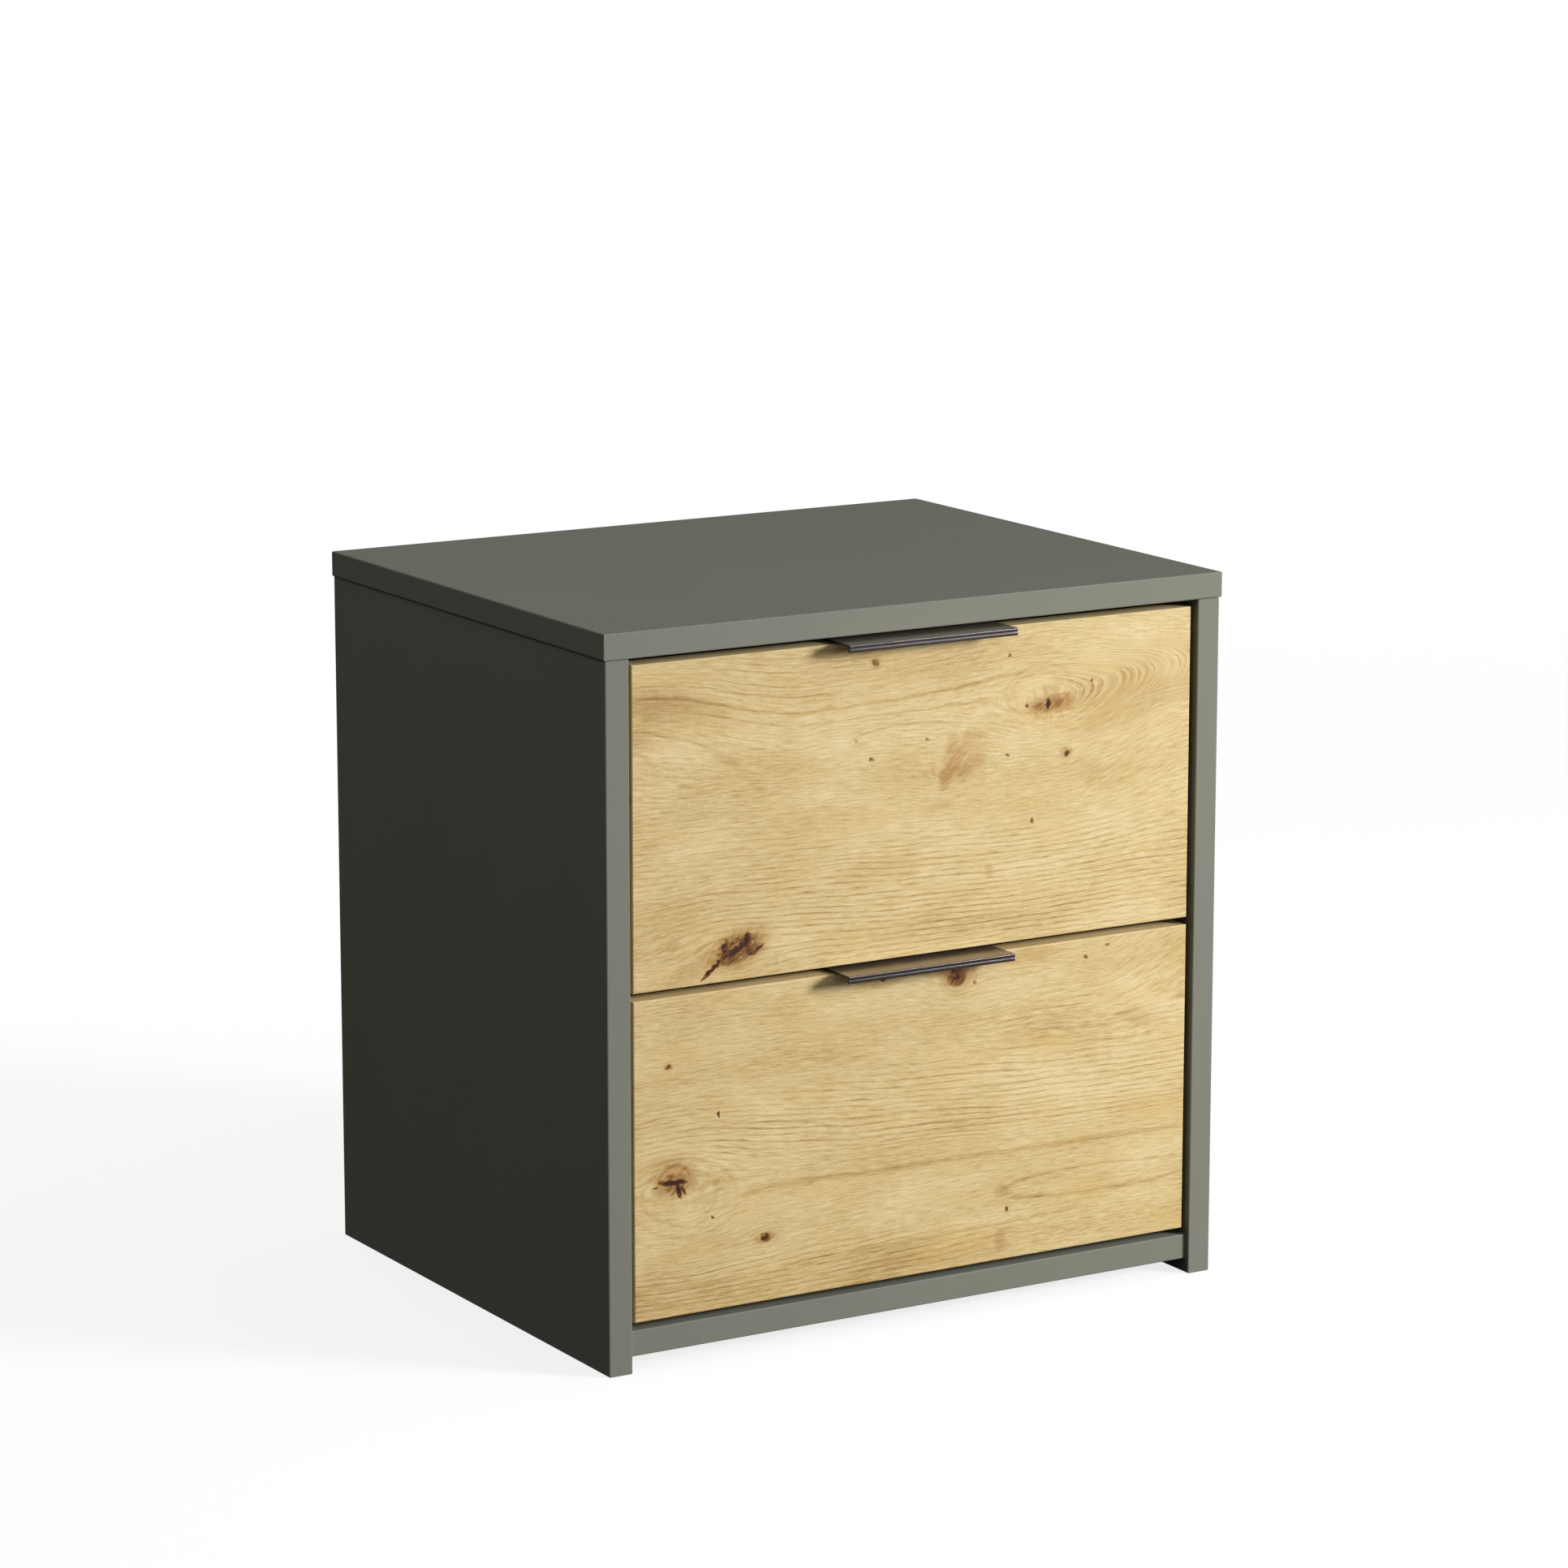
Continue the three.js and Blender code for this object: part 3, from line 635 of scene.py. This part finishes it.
def rays(front, paint, spot):
    """How much the short rays that run out of the knots stain the wood."""
    stain = 0.0
    for burst in front.bursts:
        across, rise = from_middle(burst, spot)
        radius = (across * across + rise * rise) ** 0.5 + 0.5
        fan = paint.noise(across / radius * 2.6, rise / radius * 2.6, radius / 14, detail=3)
        near = inside(burst, spot).eased(1.1, 0.1) * burst.depth
        stain += abs(fan).eased(0.12, 0.0) * near * 0.2
    return stain


def knotted(front, paint, spot, rough):
    """How dark the wood is in its knots, and in the cracks through them."""
    dark = 0.0
    for knot in front.knots:
        dark = (inside(knot, rough).eased(1.8, 0.0) * knot.depth).at_least(dark)
    veins = paint.noise(spot.along / 4, spot.up / 3, front.seed + 11, detail=4)
    veins = abs(veins).eased(0.16, 0.02)
    for crack in front.cracks:
        near = inside(crack, rough).eased(1.2, 0.1) * crack.depth
        dark = (veins * near).at_least(dark)
    return dark


def oak_colour(paint, tone, warmth, stain, dark):
    """Pale wood by its tone, warmer in clouds, brown in stains and nearly black in knots."""
    wood = paint.ramp(
        tone,
        (0.0, rgb(160, 125, 70)),
        (0.3, rgb(193, 162, 105)),
        (0.5, rgb(209, 182, 126)),
        (0.7, rgb(221, 198, 146)),
        (1.0, rgb(232, 215, 170)),
    )
    wood = paint.mix(wood, rgb(215, 177, 109), warmth.eased(-0.1, 0.6) * 0.4)
    brown = paint.ramp(tone, (0.1, rgb(130, 82, 36)), (0.8, rgb(196, 150, 86)))
    core = paint.ramp(
        dark,
        (0.12, rgb(170, 132, 80)),
        (0.4, rgb(132, 90, 44)),
        (0.6, rgb(100, 58, 28)),
        (0.85, rgb(58, 32, 18)),
    )
    wood = paint.mix(wood, brown, stain * 0.85)
    return paint.mix(wood, core, dark.eased(0.03, 0.35))


def oak(name, front, box):
    """Knotty oak with its grain along the front, and round its edges."""
    material, paint = finish(name)
    spot, painted_top_light = unfolded(paint, box)
    along, up = spot
    grain = grain_of(front, paint, spot)
    clouds = paint.noise(along / 75, up / 34, front.seed + 2, detail=2)
    warmth = paint.noise(along / 55, up / 24, front.seed + 3, detail=4)
    flaw = paint.noise(along / 4, up / 3, front.seed + 8, detail=2)
    slant = paint.noise((along + up) / 12, (up - along) / 1.7, front.seed + 10, detail=3)

    lined = added(front.lined, spot, 1.3, 0.2)
    tone, fibres = figure(paint, along, grain, front.seed + 4, lined)
    for rings in front.rings:
        wavy = spot.moved(fibres + flaw * 1.5, clouds * 4)
        tone = ringed(rings, paint, spot, wavy, tone, front.seed + 7)
    # Painted light: faces that look up are given a lighter tone, standing in for light on the top
    # edge, which lies in shade in the gap between the fronts.
    tone += 0.595 + clouds * 0.3 + painted_top_light * 0.25
    tone -= drawn(front, spot, spot.moved(fibres, clouds * 4), grain)
    tone -= added(front.shades, spot, 1.4)

    rough = spot.moved(flaw * 2, flaw * -1.4)
    stain = added(front.stains, rough, 1.25) * (1.15 + flaw * 0.8 + fibres * 1.6 + slant * 1.3)
    stain = (stain + rays(front, paint, spot)).at_least(0).at_most(1)
    dark = knotted(front, paint, spot, rough) * (1.1 + flaw * 0.9 + fibres * 0.6 + slant * 1.1)
    dark = dark.at_least(0).at_most(1)
    paint.surface(
        Base_Color=oak_colour(paint, tone, warmth, stain, dark),
        Roughness=0.55 - tone * 0.1 + dark * 0.15,
        Normal=paint.bump(fibres * 0.6 - dark * 2, 0.03),
        Specular_IOR_Level=0.2,
    )
    return material


def anthracite_metal():
    """Satin anthracite, brushed along the handle, with a painted reflection: its top faces take a
    lighter base colour.
    """
    material, paint = finish("anthracite_metal")
    x, y, z = paint.place()
    brushed = paint.noise(x / 25, y * 5, z * 5, detail=3)
    # Painted reflection: the faces that look up get a lighter base colour, standing in for the
    # bright reflection on the handle's top plate.
    top = paint.facing()[2].eased(0.8, 0.95)
    edge = paint.ramp(0.5 + brushed * 0.4, (0.0, rgb(88, 83, 83)), (1.0, rgb(112, 106, 104)))
    paint.surface(
        Base_Color=paint.mix(edge, rgb(172, 163, 150), top),
        Metallic=1.0,
        Roughness=0.26 + brushed * 0.05 + top * 0.17,
        Normal=paint.bump(brushed, 0.002),
    )
    return material


def white_board():
    """White melamine of the drawer boxes, with a faint orange peel."""
    material, paint = finish("white_board")
    x, y, z = paint.place()
    peel = paint.noise(x / 1.5, y / 1.5, z / 1.5, detail=2)
    drift = paint.noise(x / 70, y / 70, z / 70, detail=1)
    tone = 0.5 + drift * 0.3 + peel * 0.1
    paint.surface(
        Base_Color=paint.ramp(tone, (0.0, rgb(226, 225, 220)), (1.0, rgb(236, 235, 231))),
        Roughness=0.4 + peel * 0.04,
        Normal=paint.bump(peel, 0.015),
    )
    return material


def hardboard(name, white_face):
    """Hardboard: lacquered white on the face that shows, brown fibre behind and at its edges."""
    material, paint = finish(name)
    x, y, z = paint.place()
    axis, way = white_face
    white = (paint.facing()[axis] * way).eased(0.4, 0.6)
    fibre = paint.noise(x / 2.2, y / 2.2, z / 2.2, detail=5, roughness=0.7)
    flecks = paint.noise(x / 12, y / 12, z / 9, detail=4, roughness=0.7)
    brown = paint.ramp(
        0.5 + fibre * 0.4 + flecks * 0.3, (0.1, rgb(104, 74, 50)), (0.9, rgb(150, 114, 80))
    )
    lacquer = paint.ramp(0.5 + flecks * 0.3, (0.0, rgb(222, 221, 216)), (1.0, rgb(233, 232, 228)))
    paint.surface(
        Base_Color=paint.mix(brown, lacquer, white),
        Roughness=0.75 - white * 0.3,
        Normal=paint.bump(fibre * (1.1 - white), 0.05),
    )
    return material


def white_steel():
    """Powder-coated sheet of the runners."""
    material, paint = finish("white_steel")
    x, y, z = paint.place()
    peel = paint.noise(x / 0.9, y / 0.9, z / 0.9, detail=2)
    grime = paint.noise(x / 20, y / 45, z / 12, detail=3)
    paint.surface(
        Base_Color=paint.ramp(
            0.5 + grime * 0.4 + peel * 0.1, (0.0, rgb(214, 214, 211)), (1.0, rgb(229, 229, 227))
        ),
        Roughness=0.34 + peel * 0.06,
        Normal=paint.bump(peel, 0.02),
    )
    return material


def nylon():
    """Moulded nylon of the rollers."""
    material, paint = finish("nylon")
    x, y, z = paint.place()
    cloud = paint.noise(x / 3, y / 3, z / 3, detail=2)
    paint.surface(
        Base_Color=paint.ramp(
            0.5 + cloud * 0.4, (0.0, rgb(222, 218, 206)), (1.0, rgb(236, 233, 224))
        ),
        Roughness=0.38 + cloud * 0.06,
        Normal=paint.bump(cloud, 0.01),
    )
    return material


def zinc():
    """Bright zinc of the screws and cams."""
    material, paint = finish("zinc")
    x, y, z = paint.place()
    grain = paint.noise(x / 0.8, y / 0.8, z / 0.8, detail=3)
    paint.surface(
        Base_Color=paint.ramp(
            0.5 + grain * 0.4, (0.0, rgb(186, 189, 196)), (1.0, rgb(216, 218, 222))
        ),
        Metallic=1.0,
        Roughness=0.32 + grain * 0.08,
        Normal=paint.bump(grain, 0.006),
    )
    return material


def paint_nodes(material, *names):
    """Gives CAD nodes their finish."""
    for name in names:
        for slot in frame["nodes"][name].material_slots:
            slot.material = material


def named(text):
    """The CAD nodes whose names hold the text."""
    return [name for name in frame["nodes"] if text in name]


# --- Pieces modelled here --------------------------------------------------------------------

CREASE = math.radians(32)
CAM_CREASE = math.radians(60)
BROKEN_EDGE = 0.2
CAM_EDGE = 0.15
SPIN_STEPS = 48
ARC_STEPS = 6
SCREW_RADIUS = 1.75
SCREW_HEAD_RADIUS = 3.5
SCREW_HEAD = 0.5
SCREW_DOME = 0.3
SCREW_CROSS = (3.4, 0.9, 1.2)  # length, width and depth
SCREW_POINT = 2
SCREW_TIP_RADIUS = 0.3
RAIL_SCREW = 11.5  # length under the head
HANDLE_SCREW = 12
CAM_RADIUS = 7.5
CAM_CROSS = (8, 1.5, 2)
CAM_DEPTH = 12.5
ROLLER_HALF_PROFILE = ((2.25, 3), (4, 3), (4.5, 2.2), (6, 2.2), (6.5, 3), (7.5, 3), (8, 2.5))
HANDLE_REACH = 17  # in front of the drawer front
HANDLE_SHEET = 1.5
FLANGE_DROP = 12
HANDLE_BOARD = 16.25  # front of the drawer front to the flange
NOSE_HEIGHT = 4.8
NOSE_THICKNESS = 2
NOSE_ROUND = 0.8
NOSE_GROOVE = 0.4


def put(mesh, name, place, material, node):
    """Makes a piece of a mesh in millimetres, which stands for a CAD node and rides with it."""
    bmesh.ops.recalc_face_normals(mesh, faces=mesh.faces)
    mesh.transform(place @ Matrix.Scale(MM, 4))
    for face in mesh.faces:
        face.smooth = True
    for edge in mesh.edges:
        edge.smooth = edge.calc_face_angle(0) < CREASE
    data = bpy.data.meshes.new(name)
    mesh.to_mesh(data)
    mesh.free()
    data.materials.append(material)
    piece = bpy.data.objects.new(name, data)
    bpy.context.scene.collection.objects.link(piece)
    flat = piece.modifiers.new("flat_faces", "WEIGHTED_NORMAL")
    flat.keep_sharp = True
    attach(piece, body_of(frame["nodes"][node])[0])
    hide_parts(node)


def aim(origin, way):
    """A place at origin, with its own Z along way."""
    return Matrix.Translation(origin) @ Vector(way).to_track_quat("Z", "Y").to_matrix().to_4x4()


def bevelled(mesh, offset, sharp=CREASE):
    """Rounds every edge that is sharper than an angle."""
    edges = [edge for edge in mesh.edges if edge.calc_face_angle(0) > sharp]
    bmesh.ops.bevel(
        mesh,
        geom=edges,
        offset=offset,
        segments=2,
        profile=0.5,
        affect="EDGES",
        material=-1,
        clamp_overlap=True,
    )


def driven(radius, dome, cross, *rings):
    """A round head that looks along Z, with a cross for the screwdriver sunk in it. Its skirt
    runs through rings, each a radius and a height."""
    length, width, depth = cross
    lines = (-radius, -length / 2, -width / 2, width / 2, length / 2, radius)
    cells = len(lines) - 1
    mesh = bmesh.new()
    bmesh.ops.create_grid(mesh, x_segments=cells, y_segments=cells, size=cells / 2)
    for vertex in mesh.verts:
        vertex.co.x, vertex.co.y = (lines[round(at + cells / 2)] for at in vertex.co.xy)
    for vertex in [vertex for vertex in mesh.verts if vertex.is_boundary]:
        vertex.co = vertex.co.normalized() * radius
    arms = [
        face
        for face in mesh.faces
        if min(abs(at) for at in face.calc_center_median().xy) < width / 4
        and face.calc_center_median().length < length / 2
    ]
    for vertex in mesh.verts:
        vertex.co.z = -dome * vertex.co.xy.length_squared / radius**2
    bmesh.ops.inset_region(mesh, faces=arms, thickness=width / 6, depth=-depth)
    for ring, height in rings:
        rim = [edge for edge in mesh.edges if edge.is_boundary]
        made = bmesh.ops.extrude_edge_only(mesh, edges=rim)["geom"]
        for vertex in made:
            if isinstance(vertex, bmesh.types.BMVert):
                vertex.co.xy = vertex.co.xy.normalized() * ring
                vertex.co.z = height
    bmesh.ops.holes_fill(mesh, edges=[edge for edge in mesh.edges if edge.is_boundary])
    return mesh


def spun(profile):
    """A closed profile of radii and heights, spun round Z."""
    mesh = bmesh.new()
    ring = [mesh.verts.new((radius, 0, height)) for radius, height in profile]
    edges = [mesh.edges.new((ring[index - 1], ring[index])) for index in range(len(ring))]
    bmesh.ops.spin(
        mesh,
        geom=ring + edges,
        cent=(0, 0, 0),
        axis=(0, 0, 1),
        angle=2 * math.pi,
        steps=SPIN_STEPS,
        use_merge=True,
    )
    bmesh.ops.remove_doubles(mesh, verts=mesh.verts, dist=0.001)
    return mesh


def arc(middle, radius, start, end):
    """Points on an arc, from one angle in degrees to another."""
    steps = [start + (end - start) * step / ARC_STEPS for step in range(ARC_STEPS + 1)]
    angles = [math.radians(step) for step in steps]
    return [(middle[0] + radius * math.cos(a), middle[1] + radius * math.sin(a)) for a in angles]


def handle_profile():
    """Section of an edge-pull handle: its own Y is 0 at the nose, and its own Z at the top."""
    flange = HANDLE_REACH + HANDLE_BOARD
    nose = -NOSE_HEIGHT + NOSE_ROUND
    return [
        (flange, -HANDLE_SHEET - FLANGE_DROP),
        (flange + HANDLE_SHEET, -HANDLE_SHEET - FLANGE_DROP),
        *arc((flange, -HANDLE_SHEET), HANDLE_SHEET, 0, 90),
        *arc((NOSE_ROUND, -NOSE_ROUND), NOSE_ROUND, 90, 180),
        *arc((0, -NOSE_HEIGHT / 2), NOSE_GROOVE, 90, -90),
        *arc((NOSE_ROUND, nose), NOSE_ROUND, 180, 270),
        (NOSE_THICKNESS, -NOSE_HEIGHT),
        (NOSE_THICKNESS, -HANDLE_SHEET),
        (flange, -HANDLE_SHEET),
    ]


def handle(length):
    """An edge-pull handle, pulled along X, with its ends broken."""
    mesh = bmesh.new()
    section = mesh.faces.new([mesh.verts.new((-length / 2, y, z)) for y, z in handle_profile()])
    pulled = bmesh.ops.extrude_face_region(mesh, geom=[section])["geom"]
    far = [item for item in pulled if isinstance(item, bmesh.types.BMVert)]
    bmesh.ops.translate(mesh, verts=far, vec=(length, 0, 0))
    bmesh.ops.recalc_face_normals(mesh, faces=mesh.faces)
    bevelled(mesh, BROKEN_EDGE)
    return mesh


def add_screws(metal):
    """Pan-head screws: inwards through the drawer rails, outwards through the cabinet rails,
    and forwards through the handles' flanges."""
    for node in named("screw"):
        low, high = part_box(node)
        middle = (low + high) / 2
        seat = -SCREW_HEAD
        if "handle" in node:
            way, face, length = Vector((0, 1, 0)), high.y, HANDLE_SCREW
        else:
            hand = SIDES["left" if "_left" in node else "right"]
            way = Vector((-hand if node.startswith("cabinet") else hand, 0, 0))
            face, length = (high.x if way.x > 0 else low.x), RAIL_SCREW
        origin = Vector(face if along else at for along, at in zip(way, middle))
        mesh = driven(
            SCREW_HEAD_RADIUS,
            SCREW_DOME,
            SCREW_CROSS,
            (SCREW_HEAD_RADIUS, seat),
            (SCREW_RADIUS, seat),
            (SCREW_RADIUS, seat - length + SCREW_POINT),
            (SCREW_TIP_RADIUS, seat - length),
        )
        put(mesh, node.replace("screw", "cross_screw"), aim(origin, way), metal, node)


def add_cams(metal):
    """Cam fittings, flush with the inside of the side panels."""
    for node in named("cam_"):
        low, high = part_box(node)
        hand = SIDES["left" if "_left" in node else "right"]
        origin = (low + high) / 2
        origin.x = low.x if hand > 0 else high.x
        mesh = driven(CAM_RADIUS, 0, CAM_CROSS, (CAM_RADIUS, -CAM_DEPTH))
        bevelled(mesh, CAM_EDGE, CAM_CREASE)
        place = aim(origin, (-hand, 0, 0))
        put(mesh, node.replace("cam", "cam_fitting"), place, metal, node)


def add_rollers(plastic):
    """Nylon rollers with a rounded tread and dished faces."""
    profile = list(ROLLER_HALF_PROFILE)
    profile += [(radius, -height) for radius, height in reversed(ROLLER_HALF_PROFILE)]
    for node in named("roller"):
        low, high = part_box(node)
        mesh = spun(profile)
        bevelled(mesh, BROKEN_EDGE)
        place = aim((low + high) / 2, (1, 0, 0))
        put(mesh, node.replace("roller", "nylon_roller"), place, plastic, node)


def add_handles(metal):
    """One handle on the top edge of each drawer front."""
    for drawer in DRAWERS:
        node = f"{drawer}_drawer_handle"
        low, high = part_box(node)
        origin = Vector(((low.x + high.x) / 2, low.y, high.z))
        mesh = handle((high.x - low.x) / MM)
        put(mesh, f"{drawer}_edge_pull", Matrix.Translation(origin), metal, node)


# --- Every node gets its finish --------------------------------------------------------------

paint_nodes(graphite_laminate(), "top_panel", "bottom_panel", *named("side_panel"))
for drawer, front in zip(DRAWERS, (LOWER_OAK, UPPER_OAK)):
    node = f"{drawer}_drawer_front"
    paint_nodes(oak(f"{drawer}_oak", front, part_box(node)), node)
paint_nodes(hardboard("back_hardboard", (1, -1)), "back_panel")
paint_nodes(hardboard("bottom_hardboard", (2, 1)), *named("drawer_bottom"))
paint_nodes(white_board(), *named("drawer_side"), *named("drawer_back"))
rails = [node for node in named("rail") if "screw" not in node]
paint_nodes(white_steel(), *rails)
bright_zinc = zinc()
add_screws(bright_zinc)
add_cams(bright_zinc)
add_rollers(nylon())
add_handles(anthracite_metal())

# --- Stage: camera, light and floor, with lengths in metres ----------------------------------

MIDDLE = (cad_box[0] + cad_box[1]) / 2
CAMERA_PLACE = Vector((-1.7207, -2.882, 0.7714))  # from the middle of the piece
CAMERA_DOWN = math.radians(11.58)
CAMERA_TURN = math.radians(30.912)  # from straight ahead to the right
LENS = 124.66  # in millimetres, as is the sensor
SENSOR = 36
WHITE = (1, 1, 1, 1)
GLOW_ABOVE = 0.45
GLOW_SIDE = 0.22
FRONT_RIGHT = (0.6, -0.8, 0)
FLOOR_HALF = 8
FLOOR_GREY = (0.27, 0.27, 0.27, 1)
FLOOR_GLOW = 0.8
FLOOR_FADE = (900, 2600)  # its start and end, in millimetres from the middle


def camera():
    """In front of the left side, above the top, and turned to the right and down."""
    data = bpy.data.cameras.new("camera")
    data.lens = LENS
    data.sensor_width = SENSOR
    seen = bpy.data.objects.new("camera", data)
    seen.location = MIDDLE + CAMERA_PLACE
    seen.rotation_euler = (math.pi / 2 - CAMERA_DOWN, 0, -CAMERA_TURN)
    bpy.context.scene.collection.objects.link(seen)
    bpy.context.scene.camera = seen


def soft_lamp(name, turn, lift, distance, size, strength):
    """A round soft lamp that looks at the middle: turn from the front to the right, and lift,
    are in degrees. Strength is the light that a white surface facing it would give back."""
    turn, lift = math.radians(turn), math.radians(lift)
    back = Vector(
        (math.sin(turn) * math.cos(lift), -math.cos(turn) * math.cos(lift), math.sin(lift))
    )
    data = bpy.data.lights.new(name, "AREA")
    data.shape = "DISK"
    data.size = size
    data.energy = strength * (math.pi * distance) ** 2
    lamp = bpy.data.objects.new(name, data)
    lamp.location = MIDDLE + back * distance
    lamp.rotation_mode = "QUATERNION"
    lamp.rotation_quaternion = back.to_track_quat("Z", "Y")
    bpy.context.scene.collection.objects.link(lamp)


def studio():
    """A soft glow from above and from the front right, and a white surround."""
    world = bpy.data.worlds.new("studio")
    bpy.context.scene.world = world
    paint = Paint(world)
    direction = paint.node("ShaderNodeTexCoord", output="Generated")

    def towards(way):
        settings = {"operation": "DOT_PRODUCT"}
        inputs = {0: direction, 1: way}
        return paint.node("ShaderNodeVectorMath", settings, inputs, output=1).at_least(0)

    glow = towards((0, 0, 1)) * GLOW_ABOVE + towards(FRONT_RIGHT) * GLOW_SIDE
    light = paint.node("ShaderNodeBackground", inputs={"Color": WHITE, "Strength": glow})
    white = paint.node("ShaderNodeBackground", inputs={"Color": WHITE, "Strength": 1.0})
    seen = paint.node("ShaderNodeLightPath", output="Is Camera Ray")
    mixed = paint.node("ShaderNodeMixShader", inputs={0: seen, 1: light, 2: white})
    paint.node("ShaderNodeOutputWorld", inputs={"Surface": mixed})
    bpy.context.scene.view_settings.view_transform = "Standard"


def floor():
    """A pale floor that takes a faint shadow and runs out into the white surround."""
    mesh = bmesh.new()
    bmesh.ops.create_grid(mesh, x_segments=4, y_segments=4, size=FLOOR_HALF)
    data = bpy.data.meshes.new("floor")
    mesh.to_mesh(data)
    mesh.free()
    ground = bpy.data.objects.new("floor", data)
    bpy.context.scene.collection.objects.link(ground)
    material, paint = finish("pale_floor")
    x, y, _ = paint.place()
    shade = paint.node(
        "ShaderNodeBsdfPrincipled",
        inputs={
            "Base Color": FLOOR_GREY,
            "Roughness": 0.9,
            "Specular IOR Level": 0.0,
            "Emission Color": WHITE,
            "Emission Strength": FLOOR_GLOW,
        },
    )
    clear = paint.node("ShaderNodeBsdfTransparent")
    far = ((x * x + y * y) ** 0.5).eased(*FLOOR_FADE)
    mixed = paint.node("ShaderNodeMixShader", inputs={0: far, 1: shade, 2: clear})
    paint.node("ShaderNodeOutputMaterial", inputs={"Surface": mixed})
    data.materials.append(material)
    ground.visible_diffuse = False
    ground.visible_glossy = False
    ground.visible_shadow = False


camera()
soft_lamp("window_lamp", turn=44, lift=15, distance=3.2, size=0.9, strength=1.14)
soft_lamp("fill_lamp", turn=-90, lift=56, distance=1.5, size=0.8, strength=0.085)
soft_lamp("rear_lamp", turn=180, lift=0, distance=2.4, size=0.35, strength=0.5)
studio()
floor()
